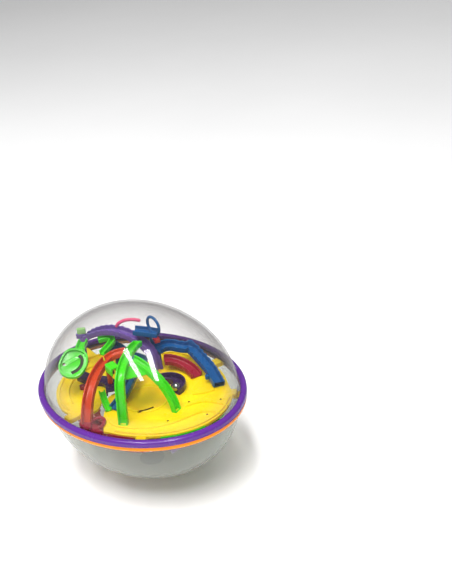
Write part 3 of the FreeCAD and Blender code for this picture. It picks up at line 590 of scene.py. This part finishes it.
def ring(name, node, slot, side, reach, height):
    """A moulded rim ring: rolled outer edge, a shallow step, and the recess that clips over the flange."""
    top = [(0.25, 1.8), (0.25, height - 1.6), (0.7, height - 0.6), (1.7, height), (reach - 2.6, height)]
    edge = [(reach - 1.5, height - 0.25), (reach - 0.6, height - 0.9), (reach - 0.12, height - 1.8),
            (reach, height - 2.6)]
    step = [(reach, 1.3), (reach - 0.25, 1.15), (reach - 0.25, 0.7), (reach, 0.55), (reach - 0.1, 0.1),
            (reach - 0.4, 0.03)]
    recess = [(4.35, 0.03), (4.2, 0.2), (4.2, 1.62), (4.0, 1.8)]
    profile = [(1.0, extra, side * z) for extra, z in top + edge + step + recess]
    piece = oval_lathe(name, profile, PAINT[slot], parts=720, closed=True, notch=seam_groove)
    return place(piece, slot, node)


ring("purple_rim", "upper_ring", "purple_ring", 1, 6.4, 5.6)
ring("orange_rim", "lower_ring", "orange_ring", -1, 5.8, 5.0)


# ---------------------------------------------------------------- decks

DISH_AT = (22.0, -14.0)
DISH_RADIUS = 19.0
DISH_FLOOR = 2.15
DISH_RISE = 1.55
DISH_STEPS = 12
SLOT_HALF = 1.3
DECK_SLOT = [(30, -33), (33, -29), (35, -24), (36.5, -19)]
DECK_HOLES = [(57, 5), (78, 24), (84, 0), (62, -27)]
HOLE_REACH = 1.75       # faces this near a hole's centre are its wall
SLOT_REACH = SLOT_HALF + 0.2
WALL_TOP = 2.9


def cut_away(piece, tool):
    """Takes the tool's solid out of the piece."""
    cutter = piece.modifiers.new("cut", "BOOLEAN")
    cutter.operation = "DIFFERENCE"
    cutter.solver = "EXACT"
    cutter.object = tool
    name, material = piece.name, piece.data.materials[0]
    baked = baked_mesh(piece)
    for spent in (piece, tool):
        bpy.data.objects.remove(spent)
    return finish_mesh(name, baked, material, smooth=50)


def dish():
    """A shallow hollow that the ball rolls round in, with a rolled lip."""
    hollow = []
    for n in range(DISH_STEPS + 1):
        hollow.append((DISH_RADIUS * n / DISH_STEPS, DISH_FLOOR + DISH_RISE * (n / DISH_STEPS) ** 2))
    lip = [(19.5, 3.85), (20.1, 3.8), (20.5, 3.45), (20.6, 3.0), (20.4, 2.2), (19.6, 1.9), (0.0, 1.9)]
    whole = lathe("dish", hollow + lip, (*DISH_AT, 0.0), PAINT["yellow"], parts=96)
    box = np.array([(-SLOT_HALF, -5.0), (SLOT_HALF, -5.0), (SLOT_HALF, 5.0), (-SLOT_HALF, 5.0)])
    line = ramp_line(DECK_SLOT, (30, -33, 2.0), (36.5, -19, 2.0))
    return cut_away(whole, sweep("slot_tool", line, box, PAINT["yellow"]))


def paint_shade_in_openings(piece):
    """Painted deep shade on the walls of the holes and the slot, and a warmer yellow painted in the hollow
    of the dish as warm shade.
    """
    # Painted shade: a dark brown on the walls of the holes and the slot.
    dark = plastic("deck_painted_shade", (0.09, 0.03, 0.004), rough=0.6, glow=0.0, coat=0.0, gloss=0.1)
    # Painted warm shade: a deeper yellow in the dish's hollow, where the web's shadow falls.
    warm = plastic("dish_painted_warm_shade", (0.95, 0.58, 0.0), rough=0.30, glow=0.5, vary=0.06, coat=0.05)
    piece.data.materials.append(dark)
    piece.data.materials.append(warm)
    slot_spots = rounded(DECK_SLOT, 0.5)
    for face in piece.data.polygons:
        x, y, z = face.center / MM
        in_hole = any(math.hypot(x - hx, y - hy) < HOLE_REACH for hx, hy in DECK_HOLES)
        in_slot = np.hypot(slot_spots[:, 0] - x, slot_spots[:, 1] - y).min() < SLOT_REACH
        in_dish = math.hypot(x - DISH_AT[0], y - DISH_AT[1]) < DISH_RADIUS
        if z < WALL_TOP and (in_hole or in_slot) and abs(face.normal.z) < 0.7:
            face.material_index = 1
        # Upward faces in the dish's hollow take the painted warm shade.
        elif z < DISH_FLOOR + DISH_RISE and face.normal.z > 0.5 and in_dish:
            face.material_index = 2


deck_plate = softened("deck_plate", "main_deck", PAINT["yellow"])
main_moulding = join("main_deck_moulding", [deck_plate, dish()])
paint_shade_in_openings(main_moulding)
place(main_moulding, "yellow", "main_deck")
place(softened("left_deck_moulding", "left_deck", PAINT["yellow"]), "yellow", "left_deck")


# ---------------------------------------------------------------- rims and walls that are not plain

RIM_BAND = 1.2          # the part of a wall's height that counts as its rim


def scallop(amount, period):
    """A wave in the height of the rims of a channel."""
    def wave(distance, section):
        top = section[:, 1].max()
        raised = section[:, 1] > top - RIM_BAND
        section[raised, 1] += amount * (math.sin(2 * math.pi * distance / period) - 0.4)
        return section
    return wave


ZIGZAG_STEP = 6.5
ZIGZAG_MIDDLE = 48.0
ZIGZAG_REACH = 13.0
CREST_AT = 57.0
CREST_REACH = 2.2


def zigzag(crest):
    """Steps in the walls, widest in the middle stretch, with one raised crest."""
    def wave(distance, section):
        top = section[:, 1].max()
        share = np.clip((section[:, 1] + top) / (2 * top), 0, 1)
        middle = math.exp(-((distance - ZIGZAG_MIDDLE) / ZIGZAG_REACH) ** 2)
        phase = (distance % ZIGZAG_STEP) / ZIGZAG_STEP
        swing = 4 * abs(phase - 0.5) - 1
        section[:, 0] += (0.3 + 1.0 * middle) * share * swing
        rim = section[:, 1] > top - RIM_BAND
        section[rim, 1] += crest * math.exp(-((distance - CREST_AT) / CREST_REACH) ** 2)
        return section
    return wave


def ribs(amount, period, width):
    """Narrow ribs round the outside of a channel."""
    def wave(distance, section):
        phase = (distance % period) / period
        if phase < width / period:
            swell = amount * math.sin(math.pi * phase * period / width)
            outside = np.abs(section[:, 0]) > np.abs(section[:, 0]).max() - 0.9
            section[outside, 0] += swell * np.sign(section[outside, 0])
            section[section[:, 1] < 1.0 - section[:, 1].max(), 1] -= swell
        return section
    return wave


SEAM_REACH = 0.9


def seams(amount, places):
    """Fine grooves round a channel where two mouldings meet."""
    def wave(distance, section):
        for spot in places:
            if abs(distance - spot) < SEAM_REACH:
                section *= 1 - amount
        return section
    return wave


PLATE_INSET = 0.02
PLATE_DEPTH = 1.3


def end_plate(name, line, size, last, material):
    """A thin wall that closes the first or last end of a channel."""
    spot, tangent, up = (part[-1 if last else 0] for part in line)
    inward = -tangent if last else tangent
    w = 0.5 * size["wide"] - PLATE_INSET
    h = 0.5 * size["tall"] - PLATE_INSET
    plate = np.array([(-w, -h), (w, -h), (w, h), (-w, h)])
    places = np.array([spot + inward * PLATE_INSET, spot + inward * PLATE_DEPTH])
    return sweep(name, (places, np.array([inward, inward]), np.array([up, up])), plate, material)


def channel(name, line, size, slot, node, wave=None, closed="", extra=(), flip=False):
    """A channel in place of its CAD node.

    closed names the ends that have a wall, extra holds more pieces, and flip opens it downwards.
    """
    section = channel_section(**size)
    if flip:
        section = section * (1, -1)
    pieces = [sweep(name + "_run", line, section, PAINT[slot], wave)]
    for word in closed.split():
        pieces.append(end_plate(name + "_" + word, line, size, word == "last", PAINT[slot]))
    return place(join(name, pieces + list(extra)), slot, node)


# ---------------------------------------------------------------- the upper maze

channel("wishbone_long_leg",
        arch_line((30, -48), (-0.53, 0.85),
                  [(-5.5, 1.5), (-3, 16), (-1.2, 30), (1.8, 40), (9, 46.5), (22, 49.5), (38, 49),
                   (52, 46.5), (66, 42)]),
        LOW_LEG, "green", "green_arch", seams(0.10, [22.0, 70.0]), closed="first last")
channel("wishbone_short_leg",
        arch_line((57, -11), (-0.982, -0.191),
                  [(-0.3, 1.6), (1.6, 11.5), (6, 21), (12, 29), (19, 35.5), (27, 41), (35.7, 45),
                   (41.2, 46.3)]),
        LOW_LEG, "green", "green_branch", seams(0.10, [30.0]), closed="first")
channel("long_chute",
        arch_line((5, -71), (-0.427, 0.904),
                  [(-1, 1), (3, 10), (9.5, 20.5), (18, 28), (30, 33), (44, 34.5), (58, 33)]),
        CHUTE, "orange_red", "orange_chute")
channel("chute_landing",
        ramp_line([(-20.2, -17.6), (-20, -11), (-16.5, -6), (-12, -3)],
                  (-20.2, -17.6, 33.0), (-12, -3, 35.5)),
        LOW_CHUTE, "orange_red", "orange_landing")
channel("purple_crossing",
        arch_line((-70, 0), (80, 30),
                  [(-3, 28), (4, 34.5), (16, 40.5), (28, 43), (39, 42.5), (49, 39.5), (58.5, 34.5),
                   (66, 27), (70.5, 17), (72.5, 1.5)]),
        TRACK, "purple", "purple_arch", scallop(0.45, 5.5))
ZIGZAG_LINE = ramp_line([(64, 38), (56, 42), (44, 48), (30, 52), (19, 55), (12, 56.5), (6, 50), (-2, 45.5),
                         (-6, 39), (-6, 31)], (64, 38, 6.0), (-6, 31, 23.5))
KNOB = [(0.0, -2.2), (1.6, -2.2), (2.0, -1.8), (2.0, 1.4), (1.6, 1.8), (0.0, 1.8)]
channel("zigzag_track", ZIGZAG_LINE, TRACK, "blue", "blue_zigzag", zigzag(2.2),
        extra=[lathe("zigzag_knob", KNOB, (49.1, 38.2, 8.5), PAINT["blue"], parts=32)])
channel("crimson_bend_track",
        ramp_line([(36, 38), (28, 40.5), (20, 41), (12, 39.5), (5.5, 36), (2, 31)],
                  (36, 38, 5.5), (2, 31, 14.5)),
        LOW, "crimson", "crimson_arc", ribs(0.45, 3.6, 1.8))
channel("teal_slide",
        ramp_line([(11, -44), (9, -30), (2, -12), (-6, 3)], (11, -44, 6), (-6, 3, 20)),
        LOW_LEG, "teal", "teal_chute")
channel("teal_trough_track",
        ramp_line([(-7, 16), (-17, 13), (-26, 9), (-36, 11), (-49, 9)], (-7, 16, 17), (-49, 9, 26)),
        TRACK, "teal", "teal_trough")
channel("small_gutter", ramp_line([(8, -47), (-1, -43), (-11, -37)], (8, -47, 4.5), (-11, -37, 12)),
        NARROW, "green", "green_gutter")
channel("side_channel",
        ramp_line([(17.6, -39.7), (13, -38.8), (7, -37.5)], (17.6, -39.7, 45), (7, -37.5, 45.6)),
        WING, "green", "green_side_channel", flip=True)
channel("hook_track",
        ramp_line([(-52, 0), (-48.5, 6), (-41, 9.5), (-37, 1), (-34, -12)],
                  (-34, -12, 31.5), (-48.5, 6, 34.5)),
        NARROW_LOW, "green", "green_hook")
channel("ladle_feeder", ramp_line([(-47, -26), (-55, -20), (-63, -9)], (-47, -26, 35), (-63, -9, 34)),
        LOW_LEG, "green", "green_feeder")
channel("teal_fan_track", ramp_line([(-1, 31), (-9, 27), (-21, 19)], (-1, 31, 42), (-21, 19, 45)),
        LOW, "blue", "teal_fan")


# ---------------------------------------------------------------- rods, hoop and small pieces

def rod_line(points, origin, along, normal):
    along = unit(along)
    normal = unit(normal)
    spots, tangents = stations(points, origin, along, np.cross(normal, along))
    return spots, tangents, np.repeat(normal[None], len(spots), axis=0)


def bent_rod(name, line, slot, node):
    return place(sweep(name, line, rod_section(ROD), PAINT[slot], round_end=1.0), slot, node)


CRIMSON_LOOP = [(-6, -4), (-6.5, 5), (-3.5, 11), (2, 13), (6, 9), (6, 2), (3, -4)]
PINK_LOOP = [(0, 43.5), (3, 48), (10, 51), (18, 51), (24, 49.5)]
PINK_ALONG = (0.8, 0.6, 0)
bent_rod("crimson_loop_rod", rod_line(CRIMSON_LOOP, (17, -69.5, 4.5), (0.74, 0.67, 0), (0, 0, 1)),
         "crimson", "crimson_loop")
bent_rod("pink_loop_rod", rod_line(PINK_LOOP, (-42, 15.6, 0), PINK_ALONG, np.cross(PINK_ALONG, Z)),
         "pink", "pink_loop")


def hoop():
    """A round hoop with a fine mould line."""
    centre = np.array([-4.5, 29.0, 50.5])
    axis = unit((0.1, 1.0, 0.0))
    side = unit(np.cross(axis, Z))
    up = np.cross(side, axis)
    radius, thick, mould_line = 8.5, 1.4, 0.14
    turns, parts = 72, 20
    verts = []
    for n in range(turns):
        a = 2 * math.pi * n / turns
        out = side * math.cos(a) + up * math.sin(a)
        for k in range(parts):
            b = 2 * math.pi * k / parts
            reach = thick + (mould_line if k == 0 else 0.0)
            verts.append((centre + out * (radius + reach * math.cos(b)) + axis * reach * math.sin(b)) * MM)
    faces = []
    for n in range(turns):
        m = (n + 1) % turns
        for k in range(parts):
            j = (k + 1) % parts
            faces.append((n * parts + k, n * parts + j, m * parts + j, m * parts + k))
    return mesh_object("hoop", verts, faces, PAINT["blue"])


place(hoop(), "blue", "blue_hoop")

SOFTENED = {
    "crimson_foot": ("crimson_base", "crimson"),
    "violet_bridge": ("dark_bridge", "dark_purple"),
    "red_bracket": ("small_red_bracket", "crimson"),
    "purple_curl": ("curl_channel", "dark_purple"),
    "chute_post": ("chute_post_round", "orange_red"),
    "arch_post": ("arch_post_round", "purple"),
    "hoop_post": ("hoop_post_round", "blue"),
    "purple_stop": ("arch_end_stop", "purple"),
    "red_stop": ("left_deck_stop", "crimson"),
    "hook_post": ("hook_post_round", "dark_purple"),
    "trough_post": ("trough_post_round", "teal"),
    "zigzag_post": ("zigzag_post_round", "blue"),
    "green_web": ("wishbone_web", "green"),
    "green_edge_rail": ("front_green_rail", "green"),
    "red_edge_rail": ("front_red_rail", "crimson"),
    "ring_screws": ("screws", "steel"),
}
for node, (label, slot) in SOFTENED.items():
    place(softened(label, node, PAINT[slot]), slot, node)

LADLE_AT = np.array([-42.0, -39.5, 31.0])
LADLE_UP = unit((0.446, -0.361, 0.819))
LADLE_RIGHT = unit(np.array([0.738, 0.667, 0.0]) - LADLE_UP * (LADLE_UP @ (0.738, 0.667, 0.0)))
LADLE_DRAIN_X = -8.8
DRAIN_REACH = 1.8
DRAIN_TOP = 1.5
GROOVE_REACH = 1.6
GROOVE_FLOOR, GROOVE_TOP = 0.4, 1.55
LADLE_GROOVE = [(4.8, 8.2), (7.8, 5.0), (7.4, -1.1), (3.6, -6.4), (-1.8, -8.8)]


def ladle():
    """The green dish, with painted deep shade on its groove and drain hole."""
    piece = softened("ladle_dish", "green_ladle", PAINT["green"], width=0.25)
    # Painted shade: a near-black green on the faces of the groove and the drain hole.
    dark = plastic("ladle_painted_shade", (0.028, 0.042, 0.018), rough=0.5, glow=0.0, coat=0.0, gloss=0.2)
    piece.data.materials.append(dark)
    spots = rounded(LADLE_GROOVE, 0.5)
    across = np.cross(LADLE_UP, LADLE_RIGHT)
    for face in piece.data.polygons:
        offset = np.array(face.center) / MM - LADLE_AT
        x, y, z = offset @ LADLE_RIGHT, offset @ across, offset @ LADLE_UP
        near_groove = np.hypot(spots[:, 0] - x, spots[:, 1] - y).min() < GROOVE_REACH
        in_groove = near_groove and GROOVE_FLOOR < z < GROOVE_TOP
        in_drain = math.hypot(x - LADLE_DRAIN_X, y) < DRAIN_REACH and z < DRAIN_TOP
        if in_groove or in_drain:
            face.material_index = 1
    return piece


place(ladle(), "green", "green_ladle")
place(softened("arch_end_cap", "green_cap", PAINT["pale_green"], width=0.9), "green", "green_cap")

BALL_RADIUS = 4.0


def ball():
    """The steel ball, turned from a half circle."""
    arc = [math.pi * n / 40 for n in range(41)]
    profile = [(BALL_RADIUS * math.sin(t), BALL_RADIUS * math.cos(t)) for t in arc]
    low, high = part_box("steel_ball")
    return lathe("rolling_ball", profile, (low + high) / 2 / MM, PAINT["steel"], parts=72)


place(ball(), "steel", "steel_ball", body="ball")


# ---------------------------------------------------------------- the lower maze

def oval_run(long, short, start, end, step):
    """Points along an oval between two turns in degrees."""
    count = int(round(abs(end - start) / step))
    angles = [math.radians(start + (end - start) * n / count) for n in range(count + 1)]
    return [(long * math.cos(a), short * math.sin(a)) for a in angles]


channel("under_red_rail",
        ramp_line(oval_run(78, 57, -128, -22, 18), (72, -21, -15), (-48, -45, -9.5)),
        TRACK, "crimson", "lower_red_rail")
channel("under_green_rail",
        ramp_line(oval_run(80, 60, -6, 62, 17), (79, -6, -16), (38, 53, -10)),
        TRACK, "green", "lower_green_rail")
channel("under_spiral",
        ramp_line([(62, -30), (66, -14), (56, 0), (40, 0), (31, -14), (38, -26), (49, -24), (51, -15)],
                  (62, -30, -26), (40, 0, -17)),
        LOW_LEG, "purple", "lower_violet_spiral")
channel("under_pink_ramp",
        ramp_line([(-36, -30), (-52, -24), (-64, -10), (-66, 8)], (-36, -30, -24), (-66, 8, -9)),
        TRACK, "pink", "lower_pink_ramp")
channel("under_green_slide",
        ramp_line([(4, 42), (24, 44), (44, 37), (60, 26)], (4, 42, -34), (60, 26, -22)),
        TRACK, "green", "lower_green_slide")
channel("under_crimson_bend",
        ramp_line([(0, -34), (14, -43), (30, -43), (42, -38)], (0, -34, -34), (42, -38, -27)),
        TRACK, "crimson", "lower_crimson_bend")
SOFTENED_LOW = {
    "lower_blue_bow": ("under_blue_bow", "blue"),
    "lower_orange_bow": ("under_orange_bow", "orange_red"),
    "lower_posts": ("under_posts", "yellow"),
}
for node, (label, slot) in SOFTENED_LOW.items():
    place(softened(label, node, PAINT[slot], width=0.3), slot, node)


# ---------------------------------------------------------------- floor, light and camera

# Metres, watts and degrees from here on.
FLOOR_LEVEL = -0.0801
FLOOR_HALF = 9.0
FLOOR_CELLS = 24
STRIP_TURN = -40.0


def floor():
    """A wide, flat, pale sheet just under the foot of the bowl."""
    marks = [-FLOOR_HALF + 2 * FLOOR_HALF * n / FLOOR_CELLS for n in range(FLOOR_CELLS + 1)]
    verts = [(x, y, FLOOR_LEVEL) for y in marks for x in marks]
    faces = []
    row = FLOOR_CELLS + 1
    for r in range(FLOOR_CELLS):
        for c in range(FLOOR_CELLS):
            a = r * row + c
            faces.append((a, a + 1, a + row + 1, a + row))
    material, tree, shader = new_material("floor_white")
    link(tree, ramp_node(tree, noise_node(tree, 3.0), grey(0.90), grey(0.93)), shader.inputs["Base Color"])
    shader.inputs["Roughness"].default_value = 0.55
    mesh = bpy.data.meshes.new("floor")
    mesh.from_pydata(verts, [], faces)
    mesh.materials.append(material)
    stand("floor", mesh)


def area_light(name, at, size, power, turn=None):
    """A rectangular lamp that hangs level at a turn about Z, or else faces the middle of the object."""
    lamp = bpy.data.lights.new(name, "AREA")
    lamp.shape = "RECTANGLE"
    lamp.size, lamp.size_y = size
    lamp.energy = power
    piece = stand(name, lamp)
    piece.location = at
    if turn is None:
        piece.rotation_euler = (-Vector(at)).to_track_quat("-Z", "Y").to_euler()
    else:
        piece.rotation_euler = (0.0, 0.0, math.radians(turn))
    return piece


floor()
# Two bright strips for the highlights on the dome; the other lamps leave no mirror image.
area_light("strip_left", (0.055, -0.648, 1.36), (1.13, 0.13), 15.0, turn=STRIP_TURN)
area_light("strip_right", (0.418, -0.330, 1.36), (1.06, 0.13), 15.0, turn=STRIP_TURN)
area_light("key", (-0.15, 0.10, 1.7), (2.4, 2.4), 17.5).visible_glossy = False
area_light("fill", (-1.3, -0.5, 1.2), (1.6, 1.6), 6.0).visible_glossy = False
area_light("front", (0.9, -1.3, 0.6), (1.2, 1.0), 6.0).visible_glossy = False

world = bpy.data.worlds.new("studio")
world.use_nodes = True
background = world.node_tree.nodes["Background"]
background.inputs["Color"].default_value = (1.0, 1.0, 1.0, 1.0)
background.inputs["Strength"].default_value = 0.34
bpy.context.scene.world = world

lens = bpy.data.cameras.new("camera")
lens.sensor_width = 36.0
lens.lens = 66.36
# The camera's right, up and backward directions, then its place.
camera = stand("camera", lens)
right = Vector((0.738421, 0.667463, -0.096062))
up = Vector((-0.252217, 0.405482, 0.878619))
back = Vector((0.625396, -0.624562, 0.467762))
turned = Matrix((right, up, back)).transposed().to_4x4()
turned.translation = Vector((0.65656, -0.53236, 0.53434))
camera.matrix_world = turned
bpy.context.scene.camera = camera
bpy.context.scene.view_settings.view_transform = "Standard"
